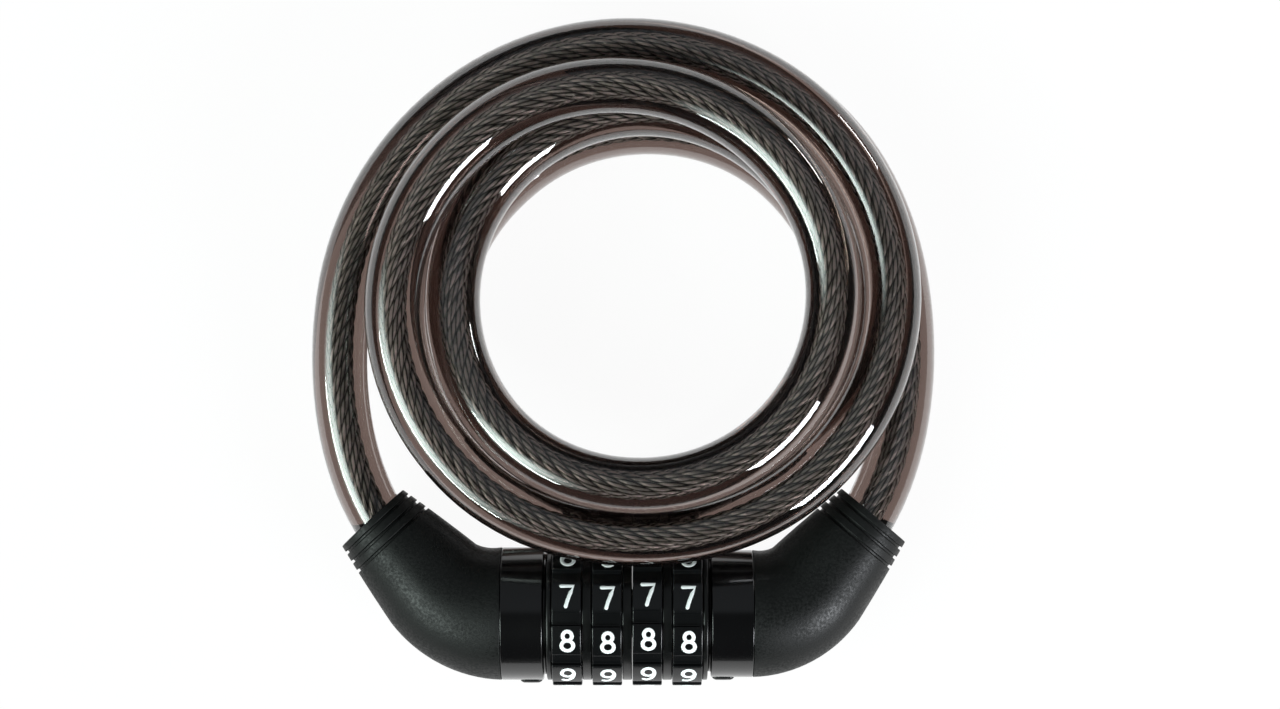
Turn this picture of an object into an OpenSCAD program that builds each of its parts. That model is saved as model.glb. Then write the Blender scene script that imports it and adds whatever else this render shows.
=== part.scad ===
// Four-dial combination cable lock, lying flat with its cable coiled above the barrel.
// The barrel lies along X.  The cable coils clockwise from the barrel end to the plug end.

/* [Dials] */
// Outer diameter of a dial across its number pads
dial_d = 26; // [25:0.5:28]
// Width of a dial along the barrel
dial_w = 5.3; // [4.8:0.1:5.8]
// Distance from one dial to the next
dial_pitch = 7.2; // [6.8:0.1:7.6]
// Height of a number pad above the groove beside it
pad_h = 0.8; // [0.4:0.1:1.2]
// Width of the groove between two number pads
pad_gap = 2.4; // [1.6:0.1:3.2]
// Chamfer along the sides of a dial
dial_chamfer = 0.3; // [0.1:0.05:0.5]
// Outer diameter of the rings between the dials
ring_d = 24; // [22:0.5:24]
// Thickness of the ring at each end of the row of dials
end_ring_w = 0.9; // [0.6:0.1:1.4]

/* [Code wheels] */
// Outer diameter of a code wheel, which a dial slides over
wheel_d = 17; // [16:0.25:18.5]
// Width of the flange that blocks a tooth of the locking pin
flange_w = 2.5; // [2:0.1:2.8]
// Width of the two keys that a dial turns its code wheel by
wheel_key_w = 1.5; // [1:0.1:2]
// Height of those keys
wheel_key_h = 0.8; // [0.5:0.1:1]
// Radius of one of the ten click notches in a code wheel
click_notch_r = 0.95; // [0.85:0.05:1.1]

/* [Core tube] */
// Outer diameter of the slotted tube that carries the dials
core_d = 8.8; // [8.4:0.1:9.2]
// Bore of the slotted tube
core_bore_d = 5.5; // [5:0.1:6]
// Width of the tongue that keeps the rings from turning
ring_key_w = 1.5; // [1:0.1:2]
// Depth of the groove for that tongue
ring_key_h = 0.8; // [0.5:0.1:1]
// Thickness of the retaining ring on the core tube
clip_w = 0.6; // [0.4:0.1:0.8]
// Outer diameter of the retaining ring
clip_d = 13; // [12:0.5:14]
// Depth of the groove for the retaining ring
clip_groove = 0.5; // [0.3:0.05:0.7]

/* [Click spring] */
// Width of the spring strip
strip_w = 1.4; // [1:0.1:1.6]
// Thickness of the spring strip
strip_t = 0.25; // [0.15:0.05:0.3]
// Height of a hump above the strip
hump_h = 0.95; // [0.85:0.05:1.05]

/* [Locking pin] */
// Height of a tooth above the pin
tooth_h = 3.5; // [3.2:0.1:3.8]
// Thickness of a tooth round the pin
tooth_t = 2; // [1.6:0.1:2.2]
// Length of a tooth along the pin
tooth_l = 1.6; // [1.2:0.1:1.8]

/* [Collars] */
// Outer diameter of the collar at the barrel end
barrel_collar_d = 24; // [23:0.25:24.5]
// Outer diameter of the collar at the plug end
plug_collar_d = 23; // [22.5:0.25:24.5]
// Length of a collar
collar_w = 7.6; // [7.2:0.1:9]
// Length of the step between a collar and the end ring
step_w = 0.6; // [0.5:0.1:1]
// Depth of that step
step_h = 1; // [0.5:0.1:1.5]
// Chamfer on the rims of a collar
collar_chamfer = 0.25; // [0.1:0.05:0.4]
// Length of an index pip
pip_l = 4.1; // [3:0.1:5]
// Width of an index pip
pip_w = 2; // [1.6:0.1:2.6]
// Height of an index pip above its collar
pip_h = 0.6; // [0.3:0.1:0.8]

/* [Elbows] */
// Angle that the barrel's elbow turns through
barrel_bend = 47; // [42:1:52]
// Radius of the barrel elbow's bend
barrel_bend_r = 17; // [15:0.5:20]
// Angle that the plug's elbow turns through
plug_bend = 50; // [42:1:52]
// Radius of the plug elbow's bend
plug_bend_r = 15; // [15:0.5:20]
// Straight length of an elbow after its bend
elbow_straight = 16.3; // [15:0.1:19]
// Outer diameter of an elbow at its mouth
elbow_end_d = 15; // [14.5:0.25:17]
// Spacing of the grooves near an elbow's mouth
rib_pitch = 1.9; // [1.5:0.1:2.5]
// Width of one of those grooves
rib_gap = 0.5; // [0.3:0.05:0.8]
// Depth of one of those grooves
rib_depth = 0.45; // [0.3:0.05:0.6]

/* [Cable anchors] */
// Diameter of an anchor's hub, which lies under the collar
hub_d = 18.8; // [18:0.1:19.2]
// Length of the hub that reaches into the elbow
hub_in = 4; // [3:0.25:5]
// Wall of the boss round a ferrule
boss_wall = 2.35; // [2:0.05:2.6]
// Diameter of a ferrule
ferrule_d = 8; // [7:0.25:8.5]
// Length of a ferrule
ferrule_l = 7.5; // [6:0.25:8]
// Diameter of a cross pin
cross_pin_d = 2; // [1.6:0.1:2.5]
// Diameter of a set screw
set_screw_d = 2.5; // [2:0.1:3]

/* [Cable] */
// Outer diameter of the cable's clear sleeve
sleeve_d = 10; // [9:0.1:10.2]
// Diameter of the steel rope inside the sleeve
rope_d = 3.3; // [2.5:0.1:4]
// Straight length of sleeve held in an elbow
sleeve_in = 10; // [10:0.5:11]
// Depth of the flare at an elbow's mouth
flare_l = 8; // [7:0.5:9]

/* [Clearances] */
// Gap beside each dial
side_gap = 0.1; // [0.05:0.01:0.15]
// Radial running gap of a turning or sliding piece
run_gap = 0.07; // [0.03:0.01:0.1]
// Radial gap between pieces that are fixed together
seat_gap = 0.05; // [0.02:0.01:0.08]
// Gap round a tooth where it passes through
tooth_gap = 0.3; // [0.25:0.05:0.4]
// Gap round the sleeve in an elbow
sleeve_gap = 0.3; // [0.2:0.05:0.4]
// Radial gap between the rope and its sleeve
rope_gap = 0.1; // [0.05:0.01:0.15]
// Play of a dial on the keys of its code wheel
key_play = 0.45; // [0.4:0.05:0.6]

/* [Hidden] */
$fn = 64;

// What a cut runs past a face, so that it opens it cleanly
over = 1;
digits = 10;
dials = 4;
// The dials' number pads are centred on the index line, and one of them sits a little off it
index_angle = 90;
dial_play = [-1, 0.3, -2.4, 0];

// Places along the barrel, from its middle
dial_x = [for (i = [0 : dials - 1]) (i - (dials - 1) / 2) * dial_pitch];
row_half = (dials - 1) / 2 * dial_pitch + dial_w / 2;
spacer_w = dial_pitch - dial_w - 2 * side_gap;
end_ring_x = row_half + side_gap;
step_x = end_ring_x + end_ring_w + seat_gap;
collar_x = step_x + step_w;
collar_end = collar_x + collar_w;
elbow_x = collar_end + seat_gap;
clip_x = step_x + seat_gap;
core_end = clip_x + clip_w + 0.7;
clip_room = core_end + 0.4;
collar_wall = 1.5;
barrel_wall_x = step_x + collar_wall;
plug_wall_x = clip_room + collar_wall;
hub_end = elbow_x + hub_in;
root_x = hub_end - 2.4;
cross_pin_x = (plug_wall_x + elbow_x) / 2;

// Radii round the barrel
dial_r = dial_d / 2;
ring_r = ring_d / 2;
wheel_r = wheel_d / 2;
core_r = core_d / 2;
bore_r = core_bore_d / 2;
pin_r = bore_r - run_gap;
hub_r = hub_d / 2;
tooth_tip = pin_r + tooth_h;
way_r = tooth_tip + tooth_gap;
way_w = tooth_t + 2 * tooth_gap;
slot_w = tooth_t + tooth_gap;
wheel_bore_r = core_r + run_gap;
clip_room_r = clip_d / 2 + 0.5;

// A tooth rests in its code wheel's open side, just short of the flange
flange_x = dial_w / 2 - flange_w;
tooth_x = flange_x - tooth_gap - tooth_l / 2;
pin_tip_x = dial_x[0] + tooth_x - tooth_l / 2 - 0.8;
bore_end_x = pin_tip_x - 1;

// Floor of the click spring's groove
strip_y = core_r - 0.9;
strip_half = row_half + 0.4;
hump_half = 1.2;

// The cable's bore in each elbow, from its mouth inwards
elbow_end_r = elbow_end_d / 2;
sleeve_r = sleeve_d / 2;
rope_r = rope_d / 2;
bore_in = flare_l + sleeve_in;
ferrule_r = ferrule_d / 2;
ferrule_bore_r = ferrule_r + seat_gap;
boss_r = ferrule_bore_r + boss_wall;
boss_in = elbow_straight + 12;
rope_in = bore_in + ferrule_l - 0.5;
sleeve_bore_r = rope_r + rope_gap;
flare = 0.85;
ribs = 3;
rib_start = 1.2;

// Shape of an elbow: an arc, then a straight run, with a radius that falls off slowly at first
elbow_taper = 1.4;
bend_steps = 8;
elbow_sides = 24;
function elbow_len(bend, bend_r) = bend_r * bend * PI / 180 + elbow_straight;
function elbow_turn(s, bend, bend_r) = min(s / bend_r * 180 / PI, bend);
function elbow_run(s, bend, bend_r) = max(0, s - bend_r * bend * PI / 180);
function elbow_radius(s, len, root_r) = root_r - (root_r - elbow_end_r) * pow(s / len, elbow_taper);
function elbow_spine(s, bend, bend_r) =
    let (a = elbow_turn(s, bend, bend_r), run = elbow_run(s, bend, bend_r))
    [elbow_x + bend_r * sin(a) + run * cos(a), bend_r * (1 - cos(a)) + run * sin(a), 0];
function elbow_mouth(bend, bend_r) = elbow_spine(elbow_len(bend, bend_r), bend, bend_r);
function elbow_out(bend) = [cos(bend), sin(bend), 0];

// Rings of an elbow's skin: distance along it, and how far a groove lies below the taper
function elbow_rings(bend, bend_r) =
    let (length = elbow_len(bend, bend_r), arc = length - elbow_straight)
    concat(
        [for (i = [0 : bend_steps]) [i * arc / bend_steps, 0]],
        [for (i = [ribs - 1 : -1 : 0])
            let (s = length - rib_start - i * rib_pitch)
            each [[s - rib_gap, 0], [s - rib_gap, rib_depth], [s, rib_depth], [s, 0]]],
        [[length, 0]]);

barrel_mouth = elbow_mouth(barrel_bend, barrel_bend_r);
plug_mouth = elbow_mouth(plug_bend, plug_bend_r);

// Where the barrel's middle stands, so that the lock without its cable is centred on the origin
tip_x_barrel = barrel_mouth[0] + elbow_end_r * sin(barrel_bend);
tip_x_plug = plug_mouth[0] + elbow_end_r * sin(plug_bend);
tip_y = max(barrel_mouth[1] + elbow_end_r * cos(barrel_bend), plug_mouth[1] + elbow_end_r * cos(plug_bend));
lock_at = [(tip_x_barrel - tip_x_plug) / 2, (dial_r - tip_y) / 2, dial_r];

// The coil's middle, from the barrel's middle, and the cable's place at every eighth of a turn:
// distance of its centre line from the coil's middle, and height above the surface it lies on.
// Each row is one turn, clockwise from lower left.  The heights suit dials of keys_dial_d, and
// larger dials lift the cable further.
coil_at = [3, 57];
keys_dial_d = 26;
keys_floor = 5;
key_start = 225;
key_step = 45;
turns = [
    [[61, 13], [54.5, 14], [49, 16], [45.5, 18.5], [44.5, 20.8], [44.5, 22.2], [43.5, 24], [42.5, 25]],
    [[44.5, 25.5], [44.5, 26], [41.5, 26], [37.5, 26], [34.5, 27], [33.5, 27.5], [33, 29], [33, 30]],
    [[34, 28], [34.3, 20.5], [34.4, 17], [34.5, 15.8], [34.8, 15.7], [35.7, 15.7], [35, 15.8], [34.2, 17.5]],
    [[35.2, 15.5], [36, 9.5], [33, 5.2], [32, 5], [34, 5], [37, 5], [39, 5], [40, 5]],
    [[44.8, 5], [46.4, 5], [46, 5], [46, 5], [46.5, 5], [48, 6], [55, 11]]
];
keys = [for (turn = turns) each turn];
// First and last key of the coil itself, and the key where its last turn becomes the tail
coil_from = 1;
coil_split = 33;
tail_to = 37;
rings_per_key = 3;
link_steps = 8;
tube_sides = 6;
lift = max(1, dial_d / keys_dial_d);

function smooth(a, b, c, d, u) =
    b + u / 2 * (c - a + u * (2 * a - 5 * b + 4 * c - d + u * (3 * (b - c) + d - a)));
function coil_point(s) =
    let (k = max(1, min(floor(s), len(keys) - 3)),
         u = s - k,
         k4 = [for (i = [-1 : 2]) keys[k + i]],
         r = smooth(k4[0][0], k4[1][0], k4[2][0], k4[3][0], u),
         z = smooth(k4[0][1], k4[1][1], k4[2][1], k4[3][1], u),
         a = key_start - key_step * s)
    [coil_at[0] + r * cos(a) + lock_at[0], coil_at[1] + r * sin(a) + lock_at[1],
     sleeve_r + max(0, z - keys_floor) * lift];
function unit(v) = v / norm(v);
function blend(p, pull_p, q, pull_q, u) =
    (2 * pow(u, 3) - 3 * pow(u, 2) + 1) * p + (pow(u, 3) - 2 * pow(u, 2) + u) * pull_p
    + (3 * pow(u, 2) - 2 * pow(u, 3)) * q + (pow(u, 3) - pow(u, 2)) * pull_q;
function mirror_x(v) = [-v[0], v[1], v[2]];
// A short curve that leaves p along way_p and meets q along way_q, without its last point
function link(p, way_p, q, way_q) =
    let (pull = norm(q - p))
    [for (i = [0 : link_steps - 1]) blend(p, way_p * pull, q, way_q * pull, i / link_steps)];
function reversed(list) = [for (i = [len(list) - 1 : -1 : 0]) list[i]];

barrel_out = mirror_x(elbow_out(barrel_bend));
plug_out = elbow_out(plug_bend);
barrel_exit = lock_at + mirror_x(barrel_mouth) - barrel_out * flare_l;
plug_exit = lock_at + plug_mouth - plug_out * flare_l;
function coil_way(s) = unit(coil_point(s + 0.1) - coil_point(s - 0.1));
function coil_path(inside) = concat(
    [barrel_exit - barrel_out * inside],
    link(barrel_exit, barrel_out, coil_point(coil_from), coil_way(coil_from)),
    [for (i = [0 : (coil_split - coil_from) * rings_per_key]) coil_point(coil_from + i / rings_per_key)]);
function tail_path(inside) = concat(
    [coil_point(coil_split) + coil_way(coil_split) * seat_gap],
    [for (i = [1 : (tail_to - coil_split) * rings_per_key]) coil_point(coil_split + i / rings_per_key)],
    reversed(link(plug_exit, plug_out, coil_point(tail_to), -coil_way(tail_to))),
    [plug_exit - plug_out * inside]);

// Least gap between two turns of the cable, and the cable's length
whole_path = concat(coil_path(sleeve_in), tail_path(sleeve_in));
near_rings = 12;
gaps = [for (i = [0 : len(whole_path) - 1], j = [i + near_rings : 1 : len(whole_path) - 1])
    norm(whole_path[i] - whole_path[j]) - sleeve_d];
cable_len = [for (i = [1 : len(whole_path) - 1]) norm(whole_path[i] - whole_path[i - 1])];
function sum(list) = list * [for (v = list) 1];
echo(least_gap_between_turns = min(gaps));
echo(cable_length = sum(cable_len), free_length = sum(cable_len) - 2 * bore_in);

// Shared shapes
module rod(x0, x1, r) {
    translate([x0, 0, 0]) rotate([0, 90, 0]) cylinder(h = x1 - x0, r = r);
}

// A solid turned round the barrel from an outline of distance along it and radius
module turned(outline) {
    rotate([0, 90, 0]) rotate_extrude() polygon([for (p = outline) [p[1], p[0]]]);
}

// The way along the barrel that the teeth of the locking pin pass through
module tooth_way(x0, x1, w) {
    translate([x0, -way_r, -w / 2]) cube([x1 - x0, way_r, w]);
}

module across(x, r, half) {
    translate([x, 0, -half]) cylinder(h = 2 * half, r = r);
}

// A rod on the cable's bore in an elbow, between two depths from its mouth
module bore_rod(mouth, bend, depth0, depth1, r0, r1) {
    translate(mouth - elbow_out(bend) * depth1) rotate([0, 90, bend])
        cylinder(h = depth1 - depth0, r1 = r1, r2 = r0);
}

// Rings of corners along a path.  Its first and last rings stand square to the ways given.
function path_way(path, i, first_way, last_way) =
    i == 0 ? first_way : i == len(path) - 1 ? last_way : unit(path[i + 1] - path[i - 1]);
function path_ring(at, way, r) =
    let (side = unit(cross([0, 0, 1], way)), up = cross(way, side))
    [for (k = [0 : tube_sides - 1])
        at + r * (cos(360 * k / tube_sides) * up + sin(360 * k / tube_sides) * side)];
function path_rings(path, first_way, last_way, r) =
    [for (i = [0 : len(path) - 1]) each path_ring(path[i], path_way(path, i, first_way, last_way), r)];
function wall(first, rings, turned_in) = [
    for (i = [0 : rings - 2], k = [0 : tube_sides - 1])
        let (a = first + i * tube_sides + k,
             b = first + i * tube_sides + (k + 1) % tube_sides,
             c = a + tube_sides,
             d = b + tube_sides)
        each turned_in ? [[a, c, b], [b, c, d]] : [[a, b, c], [b, d, c]]];
function cap(first, turned_in) = [for (k = [1 : tube_sides - 2])
    turned_in ? [first, first + k + 1, first + k] : [first, first + k, first + k + 1]];
function annulus(outer, inner, turned_in) = [
    for (k = [0 : tube_sides - 1])
        let (a = outer + k, b = outer + (k + 1) % tube_sides, c = inner + k, d = inner + (k + 1) % tube_sides)
        each turned_in ? [[a, c, b], [b, c, d]] : [[a, b, c], [b, d, c]]];

module rope(path, first_way, last_way) {
    n = len(path);
    last = (n - 1) * tube_sides;
    polyhedron(path_rings(path, first_way, last_way, rope_r),
        concat(wall(0, n, false), cap(0, true), cap(last, false)));
}

module sleeve(path, first_way, last_way) {
    n = len(path);
    inner = n * tube_sides;
    last = (n - 1) * tube_sides;
    polyhedron(
        concat(path_rings(path, first_way, last_way, sleeve_r),
            path_rings(path, first_way, last_way, sleeve_bore_r)),
        concat(wall(0, n, false), wall(inner, n, true),
            annulus(0, inner, true), annulus(last, inner + last, false)));
}

// End assemblies, drawn for the plug end and mirrored for the barrel end
module elbow(mouth, bend, bend_r, collar_r) {
    rings = elbow_rings(bend, bend_r);
    length = elbow_len(bend, bend_r);
    skin = [for (ring = rings, k = [0 : elbow_sides - 1])
        let (a = elbow_turn(ring[0], bend, bend_r),
             r = elbow_radius(ring[0], length, collar_r) - ring[1],
             q = 360 * (k + 0.5) / elbow_sides)
        elbow_spine(ring[0], bend, bend_r) + r * [-sin(a) * sin(q), cos(a) * sin(q), cos(q)]];
    points = concat(skin, [elbow_spine(0, bend, bend_r), mouth]);
    sides = [for (i = [0 : len(rings) - 2], k = [0 : elbow_sides - 1])
        let (a = i * elbow_sides + k, b = i * elbow_sides + (k + 1) % elbow_sides)
        each [[a, a + elbow_sides, b], [b, a + elbow_sides, b + elbow_sides]]];
    last = (len(rings) - 1) * elbow_sides;
    middle = len(skin);
    ends = [for (k = [0 : elbow_sides - 1])
        let (next = (k + 1) % elbow_sides)
        each [[middle, k, next], [middle + 1, last + next, last + k]]];
    bore = sleeve_r + sleeve_gap;
    slope = flare * over / flare_l;
    difference() {
        polyhedron(points, concat(sides, ends));
        rod(elbow_x - over, hub_end + seat_gap, hub_r + seat_gap);
        bore_rod(mouth, bend, bore_in, boss_in + seat_gap, boss_r + seat_gap, boss_r + seat_gap);
        bore_rod(mouth, bend, -over, bore_in + seat_gap, bore, bore);
        bore_rod(mouth, bend, -over, flare_l + over, bore + flare + slope, bore - slope);
    }
}

module anchor(mouth, bend, wall_x, root_r) {
    screw_depth = bore_in + ferrule_l / 2;
    difference() {
        union() {
            rod(wall_x + seat_gap, hub_end, hub_r);
            bore_rod(mouth, bend, bore_in + seat_gap, boss_in, boss_r, boss_r);
        }
        rod(wall_x - over, root_x + seat_gap, root_r + seat_gap);
        bore_rod(mouth, bend, bore_in - over, bore_in + ferrule_l + seat_gap, ferrule_bore_r, ferrule_bore_r);
        across(cross_pin_x, cross_pin_d / 2 + seat_gap, hub_r + over);
        translate(mouth - elbow_out(bend) * screw_depth + [0, 0, -boss_r - over])
            cylinder(h = boss_r + over, r = set_screw_d / 2 + seat_gap);
    }
}

module ferrule(mouth, bend) {
    difference() {
        bore_rod(mouth, bend, bore_in + seat_gap, bore_in + ferrule_l, ferrule_r, ferrule_r);
        bore_rod(mouth, bend, bore_in - over, rope_in + seat_gap, rope_r + seat_gap, rope_r + seat_gap);
    }
}

// The screw's flat end stays just inside the boss's round side
module set_screw(mouth, bend) {
    screw_depth = bore_in + ferrule_l / 2;
    flush = sqrt(pow(boss_r, 2) - pow(set_screw_d / 2, 2));
    translate(mouth - elbow_out(bend) * screw_depth + [0, 0, -flush])
        cylinder(h = flush - ferrule_bore_r, r = set_screw_d / 2);
}

module cross_pin() {
    across(cross_pin_x, cross_pin_d / 2, hub_r);
}

module collar(r, wall_x, hole_r, room_r) {
    c = collar_chamfer;
    rim = r - step_h;
    difference() {
        turned([[step_x, hole_r], [step_x, rim], [collar_x, rim], [collar_x, r - c], [collar_x + c, r],
                [collar_end - c, r], [collar_end, r - c], [collar_end, hub_r + seat_gap],
                [wall_x, hub_r + seat_gap], [wall_x, hole_r]]);
        rod(step_x - over, wall_x - collar_wall, room_r);
        pip_stem(hub_r - over, r + over, stem_r + seat_gap);
    }
}

// An index pip stands on the index line and is held by a stem through the collar's wall
pip_x = collar_x + pip_l / 2 + 0.25;
pip_round = pip_w / 2;
stem_r = 0.8;
module pip_stem(y0, y1, r) {
    translate([pip_x, -y0, 0]) rotate([90, 0, 0]) cylinder(h = y1 - y0, r = r);
}

module index_pip(r) {
    difference() {
        intersection() {
            translate([pip_x, 0, 0]) rotate([90, 0, 0]) linear_extrude(height = r + pip_h) {
                square([pip_l - pip_w, pip_w], center = true);
                for (side = [-1, 1]) translate([side * (pip_l - pip_w) / 2, 0]) circle(r = pip_round);
            }
            rod(collar_x, collar_end, r + pip_h);
        }
        rod(collar_x - over, collar_end + over, r + seat_gap);
    }
    pip_stem(hub_r + 2 * seat_gap, r + 2 * seat_gap, stem_r);
}

// The row of dials
module ring_blank(x0, x1) {
    c = collar_chamfer;
    difference() {
        turned([[x0, wheel_bore_r], [x0, ring_r - c], [x0 + c, ring_r],
                [x1 - c, ring_r], [x1, ring_r - c], [x1, wheel_bore_r]]);
        tooth_way(x0 - over, x1 + over, way_w);
    }
    translate([x0, -ring_key_w / 2, core_r - ring_key_h + seat_gap])
        cube([x1 - x0, ring_key_w, ring_key_h + run_gap]);
}

module spacer(i) {
    x = (dial_x[i - 1] + dial_x[i]) / 2;
    ring_blank(x - spacer_w / 2, x + spacer_w / 2);
}

// Angles round the barrel go from the top towards the index line
module round_barrel(angle) {
    rotate([angle, 0, 0]) children();
}

module dial(i) {
    c = dial_chamfer;
    half = dial_w / 2;
    pad_step = 360 / digits;
    translate([dial_x[i - 1], 0, 0]) round_barrel(dial_play[i - 1]) difference() {
        turned([[-half, wheel_r + seat_gap], [-half, dial_r - c], [-half + c, dial_r],
                [half - c, dial_r], [half, dial_r - c], [half, wheel_r + seat_gap]]);
        for (k = [0 : digits - 1]) round_barrel(index_angle + (k + 0.5) * pad_step)
            translate([-half - over, -pad_gap / 2, dial_r - pad_h])
                cube([dial_w + 2 * over, pad_gap, pad_h + over]);
        for (k = [0, 1]) round_barrel(180 * k)
            wheel_key(wheel_key_w + 2 * key_play, wheel_key_h + seat_gap, over);
    }
}

module wheel_key(w, h, past) {
    translate([-dial_w / 2 - past, -w / 2, wheel_r - 1]) cube([dial_w + 2 * past, w, h + 1]);
}

module code_wheel(i) {
    half = dial_w / 2;
    translate([dial_x[i - 1], 0, 0]) difference() {
        union() {
            rod(-half, half, wheel_r);
            for (k = [0, 1]) round_barrel(180 * k) wheel_key(wheel_key_w, wheel_key_h, 0);
        }
        rod(-half - over, flange_x, way_r);
        rod(flange_x - over, half + over, wheel_bore_r);
        tooth_way(flange_x - over, half + over, way_w);
        for (k = [0 : digits - 1]) round_barrel(index_angle + k * 360 / digits)
            translate([flange_x - over, 0, core_r - 0.1]) rotate([0, 90, 0])
                cylinder(h = flange_w + 2 * over, r = click_notch_r);
    }
}

module core() {
    difference() {
        rod(-root_x, core_end, core_r);
        rod(bore_end_x, core_end + over, bore_r);
        tooth_way(pin_tip_x, core_end + over, slot_w);
        translate([-end_ring_x - end_ring_w - over, -ring_key_w / 2 - seat_gap, core_r - ring_key_h])
            cube([2 * (end_ring_x + end_ring_w + over), ring_key_w + 2 * seat_gap, ring_key_h + over]);
        translate([-strip_half, strip_y, -strip_w / 2 - 0.2])
            cube([2 * strip_half, core_r, strip_w + 0.4]);
        difference() {
            rod(clip_x - seat_gap, clip_x + clip_w + seat_gap, core_r + over);
            rod(clip_x - over, clip_x + clip_w + over, core_r - clip_groove);
        }
        across(-cross_pin_x, cross_pin_d / 2 + seat_gap, core_r + over);
    }
}

module clip() {
    difference() {
        rod(clip_x, clip_x + clip_w, clip_d / 2);
        rod(clip_x - over, clip_x + clip_w + over, core_r - clip_groove + seat_gap);
        translate([clip_x - over, -clip_d, -way_w / 2]) cube([clip_w + 2 * over, clip_d, way_w]);
    }
}

module humped_strip() {
    hump_x = [for (x = dial_x) x + flange_x + flange_w / 2];
    top = [for (x = hump_x) each [[x - hump_half, 0], [x, hump_h], [x + hump_half, 0]]];
    outline = concat(
        [[-strip_half, 0]], top, [[strip_half, 0], [strip_half, strip_t]],
        [for (p = reversed(top)) p + [0, strip_t]], [[-strip_half, strip_t]]);
    translate([0, strip_y, -strip_w / 2]) linear_extrude(height = strip_w) polygon(outline);
}

module toothed_pin() {
    tip = 0.6;
    difference() {
        union() {
            turned([[pin_tip_x, 0], [pin_tip_x, pin_r - tip], [pin_tip_x + tip, pin_r],
                [root_x, pin_r], [root_x, 0]]);
            for (x = dial_x) translate([x + tooth_x - tooth_l / 2, -tooth_tip, -tooth_t / 2])
                cube([tooth_l, tooth_tip, tooth_t]);
        }
        across(cross_pin_x, cross_pin_d / 2 + seat_gap, pin_r + over);
    }
}

// The pieces, each in its place
module at_lock() {
    translate(lock_at) children();
}

module at_barrel_end() {
    at_lock() mirror([1, 0, 0]) children();
}

barrel_r = barrel_collar_d / 2;
plug_r = plug_collar_d / 2;

module barrel_elbow() {
    color([0.13, 0.14, 0.14]) at_barrel_end() elbow(barrel_mouth, barrel_bend, barrel_bend_r, barrel_r);
}

module barrel_anchor() {
    color("gray") at_barrel_end() anchor(barrel_mouth, barrel_bend, barrel_wall_x, core_r);
}

module barrel_ferrule() {
    color("silver") at_barrel_end() ferrule(barrel_mouth, barrel_bend);
}

module barrel_set_screw() {
    color("dimgray") at_barrel_end() set_screw(barrel_mouth, barrel_bend);
}

module barrel_cross_pin() {
    color("silver") at_barrel_end() cross_pin();
}

module barrel_collar() {
    hole_r = core_r + seat_gap;
    color([0.05, 0.05, 0.06]) at_barrel_end() collar(barrel_r, barrel_wall_x, hole_r, hole_r);
}

module barrel_index_pip() {
    color([0.1, 0.1, 0.1]) at_barrel_end() index_pip(barrel_r);
}

module core_tube() {
    color("silver") at_lock() core();
}

module spacer_1() {
    color([0.06, 0.06, 0.06]) at_lock() spacer(1);
}

module spacer_2() {
    color([0.06, 0.06, 0.06]) at_lock() spacer(2);
}

module spacer_3() {
    color([0.06, 0.06, 0.06]) at_lock() spacer(3);
}

module end_ring_left() {
    color([0.06, 0.06, 0.06]) at_lock() ring_blank(-end_ring_x - end_ring_w, -end_ring_x);
}

module end_ring_right() {
    color([0.06, 0.06, 0.06]) at_lock() ring_blank(end_ring_x, end_ring_x + end_ring_w);
}

module retaining_ring() {
    color("dimgray") at_lock() clip();
}

module click_spring() {
    color("goldenrod") at_lock() humped_strip();
}

module dial_1() {
    color([0.05, 0.05, 0.05]) at_lock() dial(1);
}

module dial_2() {
    color([0.05, 0.05, 0.05]) at_lock() dial(2);
}

module dial_3() {
    color([0.05, 0.05, 0.05]) at_lock() dial(3);
}

module dial_4() {
    color([0.05, 0.05, 0.05]) at_lock() dial(4);
}

module code_wheel_1() {
    color("darkkhaki") at_lock() code_wheel(1);
}

module code_wheel_2() {
    color("darkkhaki") at_lock() code_wheel(2);
}

module code_wheel_3() {
    color("darkkhaki") at_lock() code_wheel(3);
}

module code_wheel_4() {
    color("darkkhaki") at_lock() code_wheel(4);
}

module locking_pin() {
    color("silver") at_lock() toothed_pin();
}

module plug_collar() {
    color([0.05, 0.05, 0.06]) at_lock() collar(plug_r, plug_wall_x, pin_r + seat_gap, clip_room_r);
}

module plug_index_pip() {
    color([0.1, 0.1, 0.1]) at_lock() index_pip(plug_r);
}

module plug_cross_pin() {
    color("silver") at_lock() cross_pin();
}

module plug_anchor() {
    color("gray") at_lock() anchor(plug_mouth, plug_bend, plug_wall_x, pin_r);
}

module plug_ferrule() {
    color("silver") at_lock() ferrule(plug_mouth, plug_bend);
}

module plug_set_screw() {
    color("dimgray") at_lock() set_screw(plug_mouth, plug_bend);
}

module plug_elbow() {
    color([0.13, 0.14, 0.14]) at_lock() elbow(plug_mouth, plug_bend, plug_bend_r, plug_r);
}

module cable_coil_sleeve() {
    color([0.62, 0.55, 0.5]) sleeve(coil_path(sleeve_in), barrel_out, coil_way(coil_split));
}

module cable_coil_rope() {
    color([0.3, 0.3, 0.29]) rope(coil_path(rope_in - flare_l), barrel_out, coil_way(coil_split));
}

module cable_tail_sleeve() {
    color([0.62, 0.55, 0.5]) sleeve(tail_path(sleeve_in), coil_way(coil_split), -plug_out);
}

module cable_tail_rope() {
    color([0.3, 0.3, 0.29]) rope(tail_path(rope_in - flare_l), coil_way(coil_split), -plug_out);
}

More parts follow.
